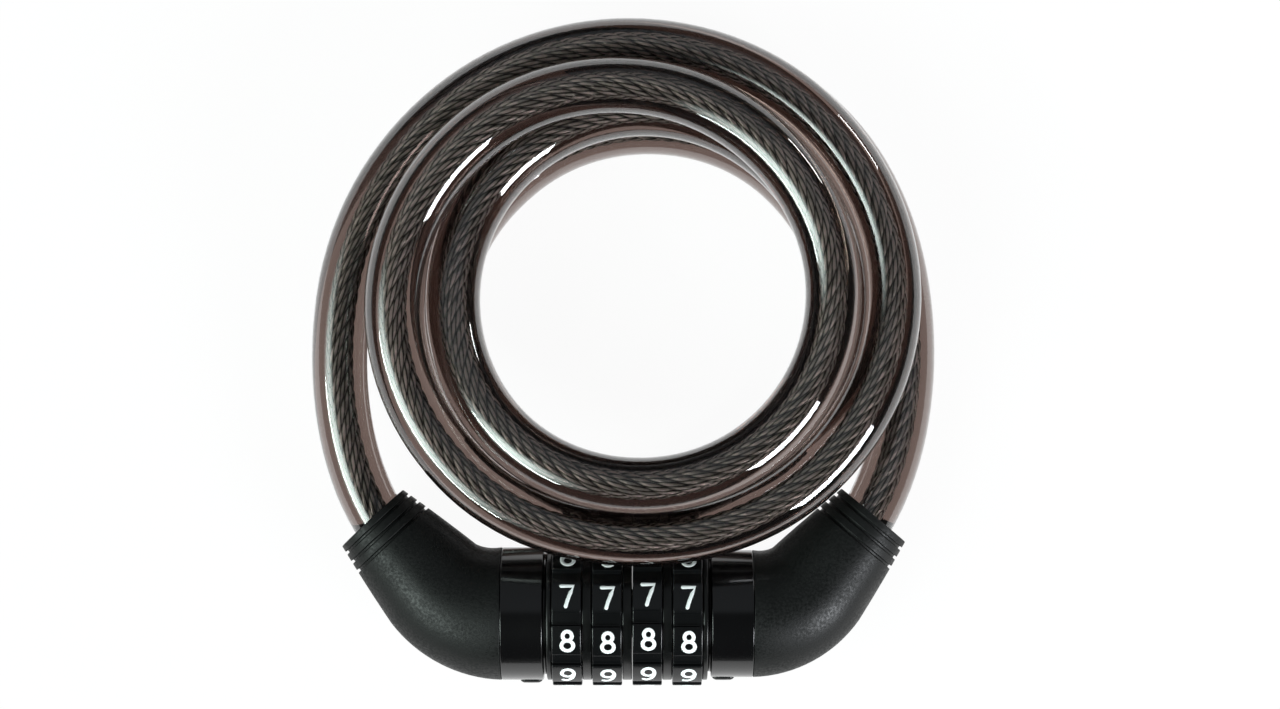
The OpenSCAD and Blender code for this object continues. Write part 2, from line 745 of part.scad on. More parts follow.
barrel_elbow();
barrel_anchor();
barrel_ferrule();
barrel_set_screw();
barrel_cross_pin();
barrel_collar();
barrel_index_pip();
core_tube();
spacer_1();
spacer_2();
spacer_3();
end_ring_left();
end_ring_right();
retaining_ring();
click_spring();
dial_1();
dial_2();
dial_3();
dial_4();
code_wheel_1();
code_wheel_2();
code_wheel_3();
code_wheel_4();
locking_pin();
plug_collar();
plug_index_pip();
plug_cross_pin();
plug_anchor();
plug_ferrule();
plug_set_screw();
plug_elbow();
cable_coil_sleeve();
cable_coil_rope();
cable_tail_sleeve();
cable_tail_rope();
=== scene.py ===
import math

import bpy
from mathutils import Matrix, Vector


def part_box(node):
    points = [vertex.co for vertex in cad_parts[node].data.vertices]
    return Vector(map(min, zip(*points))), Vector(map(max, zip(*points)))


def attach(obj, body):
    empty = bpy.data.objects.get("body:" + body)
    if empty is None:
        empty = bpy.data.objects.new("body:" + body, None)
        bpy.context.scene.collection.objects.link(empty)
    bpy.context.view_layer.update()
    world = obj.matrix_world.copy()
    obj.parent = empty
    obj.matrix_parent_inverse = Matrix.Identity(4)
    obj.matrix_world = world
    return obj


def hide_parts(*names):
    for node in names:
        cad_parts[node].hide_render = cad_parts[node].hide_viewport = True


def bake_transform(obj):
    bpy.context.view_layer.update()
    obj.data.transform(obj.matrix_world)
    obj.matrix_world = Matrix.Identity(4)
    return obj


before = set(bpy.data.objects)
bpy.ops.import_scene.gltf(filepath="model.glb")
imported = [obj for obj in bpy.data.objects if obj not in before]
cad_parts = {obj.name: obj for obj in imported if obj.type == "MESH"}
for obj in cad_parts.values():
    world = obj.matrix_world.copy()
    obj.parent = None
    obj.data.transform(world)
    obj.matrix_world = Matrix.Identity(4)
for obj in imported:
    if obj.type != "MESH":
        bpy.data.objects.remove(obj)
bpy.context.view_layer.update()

mm = 0.001
up = Vector((0, 0, 1))


def middleOf(node):
    low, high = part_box(node)
    return (Vector(low) + Vector(high)) / 2


# The barrel runs along X through this point
lockAt = Vector(((middleOf("dial_1").x + middleOf("dial_4").x) / 2, middleOf("barrel_collar").y,
                 middleOf("barrel_collar").z))


def onLock(x, y, z):
    return lockAt + Vector((x, y, z)) * mm


# The camera looks straight down. Its place is in mm from the middle of the barrel
print("camera")
topView = {"above": 513, "across": 2.3, "upBarrel": 47.06, "lens": 77.34, "sensor": 36,
           "nearest": 10}

cameraData = bpy.data.cameras.new("topCamera")
cameraData.lens = topView["lens"]
cameraData.sensor_width = topView["sensor"]
cameraData.clip_start = topView["nearest"] * mm
topCamera = bpy.data.objects.new("topCamera", cameraData)
topCamera.location = Vector((lockAt.x + topView["across"] * mm, lockAt.y + topView["upBarrel"] * mm,
                             topView["above"] * mm))
bpy.context.scene.collection.objects.link(topCamera)
bpy.context.scene.camera = topCamera
bpy.context.scene.view_settings.view_transform = "Standard"


# Colours are written in sRGB, and Blender wants them linear
def linearColour(hexCode, alpha=1.0):
    parts = [int(hexCode[i:i + 2], 16) / 255 for i in (0, 2, 4)]
    return (*[c / 12.92 if c <= 0.04045 else ((c + 0.055) / 1.055) ** 2.4 for c in parts], alpha)


def addNode(tree, kind, settings=None, links=None):
    node = tree.nodes.new(kind)
    for name, value in (settings or {}).items():
        if isinstance(name, str) and hasattr(node, name):
            setattr(node, name, value)
        else:
            node.inputs[name].default_value = value
    for name, socket in (links or {}).items():
        tree.links.new(socket, node.inputs[name])
    return node


def newMaterial(name):
    material = bpy.data.materials.new(name)
    material.use_nodes = True
    tree = material.node_tree
    tree.nodes.clear()
    output = addNode(tree, "ShaderNodeOutputMaterial")
    return material, tree, output


# waves: how fine the skin's unevenness is, in waves to the metre; waveMm: how high it is
sleeveLook = {"base": "f4ecea", "roughness": 0.03, "ior": 1.53, "coatIor": 1.6, "tint": "bdaea7",
              "density": 350, "waves": 90, "waveMm": 0.2, "waveShare": 0.01}


def makeClearPvc():
    # Extruded soft PVC over the rope: glass-clear with a warm tint, so its sides bend the light
    # from below and darken where it crosses another turn. A glossy skin whitens its rims
    look = sleeveLook
    material, tree, output = newMaterial("extrudedClearPvc")
    place = addNode(tree, "ShaderNodeTexCoord")
    waves = addNode(tree, "ShaderNodeTexNoise", {"Scale": look["waves"], "Detail": 2},
                    {"Vector": place.outputs["Object"]})
    dents = addNode(tree, "ShaderNodeBump",
                    {"Strength": look["waveShare"], "Distance": look["waveMm"] * mm},
                    {"Height": waves.outputs["Fac"]})
    skin = addNode(tree, "ShaderNodeBsdfPrincipled",
                   {"Base Color": linearColour(look["base"]), "Roughness": look["roughness"],
                    "IOR": look["ior"], "Transmission Weight": 1.0, "Coat Weight": 1.0,
                    "Coat Roughness": look["roughness"], "Coat IOR": look["coatIor"]},
                   {"Normal": dents.outputs["Normal"]})
    tint = addNode(tree, "ShaderNodeVolumeAbsorption",
                   {"Color": linearColour(look["tint"]), "Density": look["density"]})
    tree.links.new(skin.outputs["BSDF"], output.inputs["Surface"])
    tree.links.new(tint.outputs["Volume"], output.inputs["Volume"])
    return material


# Sizes in mm. corners: of one strand in the mesh. wires: threads round the rope in the material,
# leaning by slant turns to the metre. dashes: painted glints, bright spots along a thread, to the
# metre. The three colours run from painted shade in the seams, through the threads' own grey, to
# a painted highlight on the crests
rope = {"across": 3.3, "strands": 6, "lay": 18.6, "corners": 8, "step": 0.75, "grooveShare": 0.75,
        "wires": 22, "slant": -20, "dashes": 330, "dashShift": 3.7, "wireMm": 0.03,
        "paintedSeamShade": "2a2f2f", "thread": "cdd7d5", "crestPaintedHighlight": "fcffff"}


def makeRopeSteel():
    # Galvanised wires laid into strands: grey threads with painted shade in the seams and grooves
    # between them, painted highlights on their crowns and painted glints in short bright dashes.
    # The wires are drawn coarser than real ones, so that they show
    material, tree, output = newMaterial("galvanisedWireStrand")
    place = addNode(tree, "ShaderNodeUVMap", {"uv_map": "lay"})
    parts = addNode(tree, "ShaderNodeSeparateXYZ", {}, {"Vector": place.outputs["UV"]})
    lean = addNode(tree, "ShaderNodeMath",
                   {"operation": "MULTIPLY", 1: rope["slant"] * rope["wires"]},
                   {0: parts.outputs["Y"]})
    wire = addNode(tree, "ShaderNodeMath", {"operation": "MULTIPLY_ADD", 1: rope["wires"]},
                   {0: parts.outputs["X"], 2: lean.outputs["Value"]})
    fold = addNode(tree, "ShaderNodeMath", {"operation": "PINGPONG", 1: 0.5},
                   {0: wire.outputs["Value"]})
    # The crown mask raises each wire's middle for the bump, and in the colour it is a painted
    # highlight on the crown with painted shade towards the seams
    crownHeightAndPaintedHighlight = addNode(tree, "ShaderNodeMapRange",
                    {"From Max": 0.42, "interpolation_type": "SMOOTHSTEP"},
                    {"Value": fold.outputs["Value"]})
    # Painted glints: short bright dashes at random along each wire, set off from wire to wire
    number = addNode(tree, "ShaderNodeMath", {"operation": "FLOOR"}, {0: wire.outputs["Value"]})
    apart = addNode(tree, "ShaderNodeMath", {"operation": "MULTIPLY", 1: rope["dashShift"]},
                    {0: number.outputs["Value"]})
    along = addNode(tree, "ShaderNodeMath", {"operation": "MULTIPLY", 1: rope["dashes"]},
                    {0: parts.outputs["Y"]})
    spot = addNode(tree, "ShaderNodeCombineXYZ", {},
                   {"X": apart.outputs["Value"], "Y": along.outputs["Value"]})
    paintedGlintNoise = addNode(tree, "ShaderNodeTexNoise", {"Scale": 1.0, "Detail": 2},
                     {"Vector": spot.outputs["Vector"]})
    paintedGlintDash = addNode(tree, "ShaderNodeMapRange", {"From Min": 0.42, "From Max": 0.62, "To Min": 0.36},
                   {"Value": paintedGlintNoise.outputs["Fac"]})
    # Painted shade: the colour darkens in the grooves between the strands
    laid = addNode(tree, "ShaderNodeMath",
                   {"operation": "MULTIPLY", 1: -rope["strands"] / (rope["lay"] * mm)},
                   {0: parts.outputs["Y"]})
    strand = addNode(tree, "ShaderNodeMath", {"operation": "MULTIPLY_ADD", 1: rope["strands"]},
                     {0: parts.outputs["X"], 2: laid.outputs["Value"]})
    groove = addNode(tree, "ShaderNodeMath", {"operation": "PINGPONG", 1: 0.5},
                     {0: strand.outputs["Value"]})
    clear = addNode(tree, "ShaderNodeMapRange",
                    {"From Max": 0.3, "To Min": 0.12, "interpolation_type": "SMOOTHSTEP"},
                    {"Value": groove.outputs["Value"]})
    # Painted light: crown highlight, glints and groove shade multiplied together
    paintedLightMask = addNode(tree, "ShaderNodeMath", {"operation": "MULTIPLY"},
                  {0: crownHeightAndPaintedHighlight.outputs["Result"], 1: paintedGlintDash.outputs["Result"]})
    paintedLightMask = addNode(tree, "ShaderNodeMath", {"operation": "MULTIPLY"},
                  {0: paintedLightMask.outputs["Value"], 1: clear.outputs["Result"]})
    # The wire colour runs from painted shade in the seams, through the threads' own grey, to
    # painted highlights
    wireColourAndPaintedLight = addNode(tree, "ShaderNodeValToRGB", {}, {"Fac": paintedLightMask.outputs["Value"]})
    wireColourAndPaintedLight.color_ramp.elements[0].color = linearColour(rope["paintedSeamShade"])
    wireColourAndPaintedLight.color_ramp.elements[1].color = linearColour("ffffff")
    for position, shade in ((0.3, rope["thread"]), (0.65, rope["crestPaintedHighlight"])):
        wireColourAndPaintedLight.color_ramp.elements.new(position).color = linearColour(shade)
    bump = addNode(tree, "ShaderNodeBump", {"Strength": 1.0, "Distance": rope["wireMm"] * mm},
                   {"Height": crownHeightAndPaintedHighlight.outputs["Result"]})
    steel = addNode(tree, "ShaderNodeBsdfPrincipled", {"Metallic": 0.4, "Roughness": 0.4},
                    {"Base Color": wireColourAndPaintedLight.outputs["Color"], "Normal": bump.outputs["Normal"]})
    tree.links.new(steel.outputs["BSDF"], output.inputs["Surface"])
    return material


# The shine varies in clouds, so many to the metre, between these shares of the roughness
shineClouds = {"waves": 60, "least": 0.85, "most": 1.2}


def makeMoulded(name, hexCode, roughness, grainMm, depthMm, strength, coat=0.0, speckle=0.0,
                gloss=0.5):
    # Moulded plastic: the tool's fine grain breaks up the shine, and speckle roughens some grains
    material, tree, output = newMaterial(name)
    place = addNode(tree, "ShaderNodeTexCoord")
    grain = addNode(tree, "ShaderNodeTexNoise", {"Scale": 1 / (grainMm * mm), "Detail": 2},
                    {"Vector": place.outputs["Object"]})
    bump = addNode(tree, "ShaderNodeBump", {"Strength": strength, "Distance": depthMm * mm},
                   {"Height": grain.outputs["Fac"]})
    cloud = addNode(tree, "ShaderNodeTexNoise", {"Scale": shineClouds["waves"], "Detail": 4},
                    {"Vector": place.outputs["Object"]})
    wear = addNode(tree, "ShaderNodeMapRange",
                   {"From Min": 0.35, "From Max": 0.7,
                    "To Min": roughness * shineClouds["least"],
                    "To Max": roughness * shineClouds["most"]},
                   {"Value": cloud.outputs["Fac"]})
    spread = addNode(tree, "ShaderNodeMapRange",
                     {"From Min": 0.35, "From Max": 0.65, "To Min": 1 - speckle,
                      "To Max": 1 + speckle},
                     {"Value": grain.outputs["Fac"]})
    matt = addNode(tree, "ShaderNodeMath", {"operation": "MULTIPLY"},
                   {0: wear.outputs["Result"], 1: spread.outputs["Result"]})
    shell = addNode(tree, "ShaderNodeBsdfPrincipled",
                    {"Base Color": linearColour(hexCode), "IOR": 1.5, "Coat Weight": coat,
                     "Specular IOR Level": gloss},
                    {"Roughness": matt.outputs["Value"], "Normal": bump.outputs["Normal"]})
    tree.links.new(shell.outputs["BSDF"], output.inputs["Surface"])
    return material


# A mark's width as a share of its length round the barrel, and its depth
toolMarks = {"narrow": 0.05, "deepMm": 0.02}


def makeMetal(name, hexCode, roughness, scratchMm, strength):
    # Machined or plated metal: fine tool marks across the barrel
    material, tree, output = newMaterial(name)
    place = addNode(tree, "ShaderNodeTexCoord")
    stretch = addNode(tree, "ShaderNodeMapping",
                      {"Scale": (1.0, toolMarks["narrow"], toolMarks["narrow"])},
                      {"Vector": place.outputs["Object"]})
    marks = addNode(tree, "ShaderNodeTexNoise", {"Scale": 1 / (scratchMm * mm), "Detail": 3},
                    {"Vector": stretch.outputs["Vector"]})
    bump = addNode(tree, "ShaderNodeBump",
                   {"Strength": strength, "Distance": toolMarks["deepMm"] * mm},
                   {"Height": marks.outputs["Fac"]})
    metal = addNode(tree, "ShaderNodeBsdfPrincipled",
                    {"Base Color": linearColour(hexCode), "Metallic": 1.0, "Roughness": roughness},
                    {"Normal": bump.outputs["Normal"]})
    tree.links.new(metal.outputs["BSDF"], output.inputs["Surface"])
    return material


print("materials")
clearPvc = makeClearPvc()
ropeSteel = makeRopeSteel()
elbowAbs = makeMoulded("sparkErodedAbs", "090b0a", 0.52, 0.45, 0.05, 0.6, speckle=0.2, gloss=0.3)
pipAbs = makeMoulded("mouldedAbsPip", "101111", 0.3, 0.3, 0.02, 0.2)
dialAbs = makeMoulded("polishedAbsDial", "0b0c0d", 0.22, 0.4, 0.01, 0.15)
collarPaint = makeMoulded("glossBlackEnamel", "060607", 0.2, 1.2, 0.01, 0.08, coat=0.4)
ringPaint = makeMoulded("satinBlackEnamel", "0a0b0b", 0.3, 0.5, 0.01, 0.15)
figurePaint = makeMoulded("whitePadPrintInk", "fcffff", 0.45, 0.3, 0.01, 0.1)
platedSteel = makeMetal("nickelPlatedSteel", "b9b7b0", 0.22, 0.15, 0.3)
castZinc = makeMetal("asCastZinc", "8d9092", 0.45, 0.4, 0.5)
turnedBrass = makeMetal("turnedBrass", "c3a35c", 0.3, 0.15, 0.4)
darkSteel = makeMetal("oilBlackSpringSteel", "3a3a3c", 0.35, 0.2, 0.3)


print("cable route")
elbows = {
    "barrel": {"side": -1, "bend": 47, "bendR": 17, "straight": 16.3, "rootR": 12, "endR": 7.5},
    "plug": {"side": 1, "bend": 50, "bendR": 15, "straight": 16.3, "rootR": 11.5, "endR": 7.5},
}
# Where an elbow starts, from the middle of the barrel, and depths from its mouth, all in mm
seamGap = 0.05
elbowStart = abs(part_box("barrel_collar")[0][0] - lockAt.x) / mm + seamGap
flareDepth = 8
sleeveInside = 10
ropeInside = 17


def elbowSpine(e, s):
    arc = math.radians(e["bend"]) * e["bendR"]
    a = min(s / e["bendR"], math.radians(e["bend"]))
    run = max(0.0, s - arc)
    x = elbowStart + e["bendR"] * math.sin(a) + run * math.cos(a)
    y = e["bendR"] * (1 - math.cos(a)) + run * math.sin(a)
    return onLock(e["side"] * x, y, 0)


def elbowLength(e):
    return math.radians(e["bend"]) * e["bendR"] + e["straight"]


def elbowOut(e):
    a = math.radians(e["bend"])
    return Vector((e["side"] * math.cos(a), math.sin(a), 0))


# Distance from the coil's middle and height, in metres, every eighth of a turn, clockwise from
# lower left
turns = [
    [(0.061, 0.013), (0.0545, 0.014), (0.049, 0.016), (0.0455, 0.0185),
     (0.0445, 0.0208), (0.0445, 0.0222), (0.0435, 0.024), (0.0425, 0.025)],
    [(0.0445, 0.0255), (0.0445, 0.026), (0.0415, 0.026), (0.0375, 0.026),
     (0.0345, 0.027), (0.0335, 0.0275), (0.033, 0.029), (0.033, 0.030)],
    [(0.034, 0.028), (0.0343, 0.0205), (0.0344, 0.017), (0.0345, 0.0158),
     (0.0348, 0.0157), (0.0357, 0.0157), (0.035, 0.0158), (0.0342, 0.0175)],
    [(0.0352, 0.0155), (0.036, 0.0095), (0.033, 0.0052), (0.032, 0.005),
     (0.034, 0.005), (0.037, 0.005), (0.039, 0.005), (0.040, 0.005)],
    [(0.0448, 0.005), (0.0464, 0.005), (0.046, 0.005), (0.046, 0.005),
     (0.0465, 0.005), (0.048, 0.006), (0.055, 0.011)],
]
cable = {
    "sleeveD": 10.0, "sleeveSides": 48, "coilAt": (3, 57), "keyStart": 225, "keyStep": 45,
    "coilFrom": 1, "coilSplit": 33, "tailTo": 37, "ringsPerKey": 15, "linkRings": 20,
    "wayStep": 0.1,
}
keys = [key for turn in turns for key in turn]


def smoothed(a, b, c, d, u):
    # Catmull-Rom curve from b to c, with a and d beyond them
    return b + u / 2 * (c - a + u * (2 * a - 5 * b + 4 * c - d + u * (3 * (b - c) + d - a)))


def coilPoint(s):
    k = max(1, min(math.floor(s), len(keys) - 3))
    near = keys[k - 1:k + 3]
    r = smoothed(*[key[0] for key in near], s - k)
    z = smoothed(*[key[1] for key in near], s - k)
    a = math.radians(cable["keyStart"] - cable["keyStep"] * s)
    cx, cy = cable["coilAt"]
    return Vector((lockAt.x + cx * mm + r * math.cos(a), lockAt.y + cy * mm + r * math.sin(a),
                   max(z, cable["sleeveD"] / 2 * mm)))


def coilWay(s):
    return (coilPoint(s + cable["wayStep"]) - coilPoint(s - cable["wayStep"])).normalized()


def linkPoints(p, wayP, q, wayQ, count):
    # Hermite curve from p to q that starts along wayP and ends along wayQ
    pull = (q - p).length
    points = []
    for i in range(count):
        u = i / count
        points.append((2 * u ** 3 - 3 * u ** 2 + 1) * p + (u ** 3 - 2 * u ** 2 + u) * pull * wayP
                      + (3 * u ** 2 - 2 * u ** 3) * q + (u ** 3 - u ** 2) * pull * wayQ)
    return points


exits = {}
for name, e in elbows.items():
    out = elbowOut(e)
    exits[name] = (elbowSpine(e, elbowLength(e)) - out * flareDepth * mm, out)


def coilRoute(inside):
    exitAt, out = exits["barrel"]
    first, last = cable["coilFrom"], cable["coilSplit"]
    steps = (last - first) * cable["ringsPerKey"]
    return ([exitAt - out * inside * mm]
            + linkPoints(exitAt, out, coilPoint(first), coilWay(first), cable["linkRings"])
            + [coilPoint(first + i / cable["ringsPerKey"]) for i in range(steps + 1)])


def tailRoute(inside):
    exitAt, out = exits["plug"]
    first, last = cable["coilSplit"], cable["tailTo"]
    steps = (last - first) * cable["ringsPerKey"]
    link = linkPoints(exitAt, out, coilPoint(last), -coilWay(last), cable["linkRings"])
    return ([coilPoint(first + i / cable["ringsPerKey"]) for i in range(steps + 1)]
            + link[::-1] + [exitAt - out * inside * mm])


def lengthOf(route):
    return sum((b - a).length for a, b in zip(route, route[1:]))


def evenly(route, step):
    # The same line with points a fixed distance apart
    spots, total, at = [route[0]], lengthOf(route), 0.0
    count = max(2, round(total / step))
    target = total / count
    for a, b in zip(route, route[1:]):
        long = (b - a).length
        while target <= at + long + 1e-12 and len(spots) < count:
            spots.append(a.lerp(b, (target - at) / long))
            target += total / count
        at += long
    return spots + [route[-1]]


def waysAlong(route, firstWay, lastWay):
    inner = [(route[i + 1] - route[i - 1]).normalized() for i in range(1, len(route) - 1)]
    return [firstWay] + inner + [lastWay]


def meshPiece(name, corners, faces):
    mesh = bpy.data.meshes.new(name)
    mesh.from_pydata(corners, [], faces)
    piece = bpy.data.objects.new(name, mesh)
    bpy.context.scene.collection.objects.link(piece)
    return piece


def sweptMesh(name, route, ways, outlineAt, uvAt=None):
    # A closed skin through one outline of corners for each point of the route
    corners, count = [], 0
    for i, (at, way) in enumerate(zip(route, ways)):
        side = up.cross(way).normalized()
        rise = way.cross(side)
        outline = outlineAt(i)
        count = len(outline)
        corners += [at + side * u + rise * v for u, v in outline]
    faces = []
    for start in range(0, (len(route) - 1) * count, count):
        for k in range(count):
            beside = (k + 1) % count
            faces.append([start + k, start + beside, start + count + beside, start + count + k])
    faces += [list(range(count))[::-1], [(len(route) - 1) * count + k for k in range(count)]]
    piece = meshPiece(name, corners, faces)
    mesh = piece.data
    if uvAt:
        layer = mesh.uv_layers.new(name="lay")
        for polygon in mesh.polygons:
            columns = [mesh.loops[j].vertex_index % count for j in polygon.loop_indices]
            wraps = len(columns) == 4 and 0 in columns and count - 1 in columns
            for j, column in zip(polygon.loop_indices, columns):
                ring = mesh.loops[j].vertex_index // count
                layer.data[j].uv = uvAt(ring, count if wraps and column == 0 else column)
    mesh.update()
    return piece


def makeSleeve(name, route, ways):
    r, sides = cable["sleeveD"] / 2 * mm, cable["sleeveSides"]
    angles = [2 * math.pi * k / sides for k in range(sides)]
    ring = [(r * math.cos(a), r * math.sin(a)) for a in angles]
    piece = sweptMesh(name, route, ways, lambda i: ring)
    piece.data.materials.append(clearPvc)
    return piece


def strandOutline(turn):
    # Strands of round section side by side round a circle, seen from the rope's end
    strands, corners = rope["strands"], rope["corners"]
    half = math.pi / strands
    strandR = rope["across"] / 2 * mm / (1 + 1 / math.sin(half))
    pitchR = strandR / math.sin(half)
    fullR = pitchR + strandR
    sweep = math.pi / 2 + half
    outline = []
    for strand in range(strands):
        a = turn + 2 * half * strand
        for k in range(corners):
            b = a - sweep + 2 * sweep * (k + 0.5) / corners
            corner = Vector((pitchR * math.cos(a) + strandR * math.cos(b),
                             pitchR * math.sin(a) + strandR * math.sin(b)))
            depth = (fullR - corner.length) * rope["grooveShare"]
            outline.append(corner.normalized() * (fullR - depth))
    return outline


def makeRope(name, route, firstWay, lastWay, startLength):
    spots = evenly(route, rope["step"] * mm)
    step = lengthOf(spots) / (len(spots) - 1)
    runs = [startLength + i * step for i in range(len(spots))]
    twist = [2 * math.pi * run / (rope["lay"] * mm) for run in runs]
    count = rope["strands"] * rope["corners"]
    piece = sweptMesh(name, spots, waysAlong(spots, firstWay, lastWay),
                      lambda i: strandOutline(twist[i]),
                      lambda ring, k: (k / count + twist[ring] / (2 * math.pi), runs[ring]))
    piece.data.materials.append(ropeSteel)
    return piece


def selectOnly(piece):
    bpy.ops.object.select_all(action="DESELECT")
    piece.select_set(True)
    bpy.context.view_layer.objects.active = piece


def smoothByAngle(piece, degrees):
    selectOnly(piece)
    bpy.ops.object.shade_smooth_by_angle(angle=math.radians(degrees))


print("cable")
splitWay = coilWay(cable["coilSplit"])
coilLine, tailLine = coilRoute(sleeveInside), tailRoute(sleeveInside)
barrelOut, plugOut = exits["barrel"][1], exits["plug"][1]

coilSleeve = makeSleeve("coilSleeve", coilLine, waysAlong(coilLine, barrelOut, splitWay))
tailSleeve = makeSleeve("tailSleeve", tailLine, waysAlong(tailLine, splitWay, -plugOut))
coilRopeLine = coilRoute(ropeInside)
coilRope = makeRope("coilRope", coilRopeLine, barrelOut, splitWay, 0.0)
tailRope = makeRope("tailRope", tailRoute(ropeInside), splitWay, -plugOut, lengthOf(coilRopeLine))
for piece, node, angle in ((coilSleeve, "cable_coil_sleeve", 30),
                           (coilRope, "cable_coil_rope", 50),
                           (tailSleeve, "cable_tail_sleeve", 30),
                           (tailRope, "cable_tail_rope", 50)):
    smoothByAngle(piece, angle)
    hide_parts(node)
for piece in (coilSleeve, coilRope):
    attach(piece, "barrel")
# The tail bends from its start, at the left of the coil, to the plug's elbow
for piece in (tailSleeve, tailRope):
    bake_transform(piece)
print("cable length between the elbows, mm:",
      round((lengthOf(coilLine) + lengthOf(tailLine)) / mm - 2 * (sleeveInside + flareDepth)))


mergeWithin = 0.002 * mm


def openPiece(name):
    # The primitive that was just added
    piece = bpy.context.view_layer.objects.active
    piece.name = piece.data.name = name
    return piece


def bakePlace(piece):
    selectOnly(piece)
    bpy.ops.object.transform_apply(location=True, rotation=True, scale=True)


def applyBevel(piece, width, segments=2, angle=30):
    selectOnly(piece)
    bevel = piece.modifiers.new("edgeRound", "BEVEL")
    bevel.width, bevel.segments, bevel.limit_method = width * mm, segments, "ANGLE"
    bevel.angle_limit = math.radians(angle)
    bpy.ops.object.modifier_apply(modifier=bevel.name)


def evenShading(piece, degrees):
    # Wide faces keep their own shading, and only the narrow rounded edges turn the light
    smoothByAngle(piece, degrees)
    weight = piece.modifiers.new("faceWeight", "WEIGHTED_NORMAL")
    weight.keep_sharp, weight.weight = True, 100
    bpy.ops.object.modifier_apply(modifier=weight.name)


def turnedPiece(name, outline, sides=128, edge=0.0):
    # outline: distance along the barrel and radius, round the section and back to its start
    bpy.ops.object.select_all(action="DESELECT")
    x, r = outline[0]
    bpy.ops.mesh.primitive_circle_add(vertices=sides, radius=r * mm, location=onLock(x, 0, 0),
                                      rotation=(0, math.pi / 2, 0))
    piece = openPiece(name)
    bakePlace(piece)
    bpy.ops.object.mode_set(mode="EDIT")
    bpy.ops.mesh.select_all(action="SELECT")
    for nextX, nextR in outline[1:]:
        bpy.ops.mesh.extrude_region_move(TRANSFORM_OT_translate={"value": ((nextX - x) * mm, 0, 0)})
        bpy.ops.transform.resize(value=(1, nextR / r, nextR / r),
                                 center_override=onLock(nextX, 0, 0))
        x, r = nextX, nextR
    bpy.ops.mesh.select_all(action="SELECT")
    bpy.ops.mesh.remove_doubles(threshold=mergeWithin)
    bpy.ops.mesh.normals_make_consistent(inside=False)
    bpy.ops.object.mode_set(mode="OBJECT")
    if edge:
        applyBevel(piece, edge)
    evenShading(piece, 50)
    return piece


def finishPiece(piece, material, body, slotName, *nodes):
    piece.data.materials.clear()
    piece.data.materials.append(material)
    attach(piece, body)
    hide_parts(*nodes)


def alongBarrel(node):
    low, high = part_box(node)
    return (low[0] - lockAt.x) / mm, (high[0] - lockAt.x) / mm


print("collars and rings")
# In mm. step and stepDrop: the stepped rim beside the dials; wall: of the web inside
collars = {"barrelR": 12.0, "plugR": 11.5, "step": 0.6, "stepDrop": 1.0, "innerR": 9.45,
           "edge": 0.22, "barrelHole": 4.45, "plugHole": 2.73, "plugRoomR": 7.0, "plugRoom": 1.75,
           "wall": 1.5}
c = collars
low, high = alongBarrel("barrel_collar")
barrelCollar = turnedPiece("barrelCollar", [
    (low, c["innerR"]), (low, c["barrelR"]), (high - c["step"], c["barrelR"]),
    (high - c["step"], c["barrelR"] - c["stepDrop"]), (high, c["barrelR"] - c["stepDrop"]),
    (high, c["barrelHole"]), (high - c["wall"], c["barrelHole"]), (high - c["wall"], c["innerR"]),
    (low, c["innerR"])], edge=c["edge"])
finishPiece(barrelCollar, collarPaint, "barrel", "black_paint", "barrel_collar")
low, high = alongBarrel("plug_collar")
plugCollar = turnedPiece("plugCollar", [
    (high, c["innerR"]), (high, c["plugR"]), (low + c["step"], c["plugR"]),
    (low + c["step"], c["plugR"] - c["stepDrop"]), (low, c["plugR"] - c["stepDrop"]),
    (low, c["plugRoomR"]), (low + c["plugRoom"], c["plugRoomR"]),
    (low + c["plugRoom"], c["plugHole"]), (low + c["plugRoom"] + c["wall"], c["plugHole"]),
    (low + c["plugRoom"] + c["wall"], c["innerR"]), (high, c["innerR"])], edge=c["edge"])
finishPiece(plugCollar, collarPaint, "plug", "black_paint", "plug_collar")

rings = {"r": 12.0, "hole": 4.5, "edge": 0.2}
for node in ("end_ring_left", "spacer_1", "spacer_2", "spacer_3", "end_ring_right"):
    low, high = alongBarrel(node)
    ring = turnedPiece(node.replace("_", "") + "Turned", [
        (low, rings["hole"]), (low, rings["r"]), (high, rings["r"]), (high, rings["hole"]),
        (low, rings["hole"])], edge=rings["edge"])
    finishPiece(ring, ringPaint, "barrel", "black_paint", node)


print("dials")
# In degrees, play: how far each dial stands off its click; indexAngle: from the top to the index
# line
dials = {"r": 13.0, "grooveR": 12.2, "holeR": 8.55, "facets": 100, "padFacets": 7, "digits": 10,
         "edge": 0.22, "play": (-1, 0.3, -2.4, 0), "indexAngle": 90}
digitStep = 360 / dials["digits"]
figures = {"shift": 0.2, "stroke": 0.68, "thick": 0.16, "sides": 8, "arcSteps": 16,
           "capAngles": (30, 60, 85)}


def turnFromTop(normal):
    # Degrees round the barrel, from straight up towards the index line
    return math.degrees(math.atan2(-normal.y, normal.z)) % 360


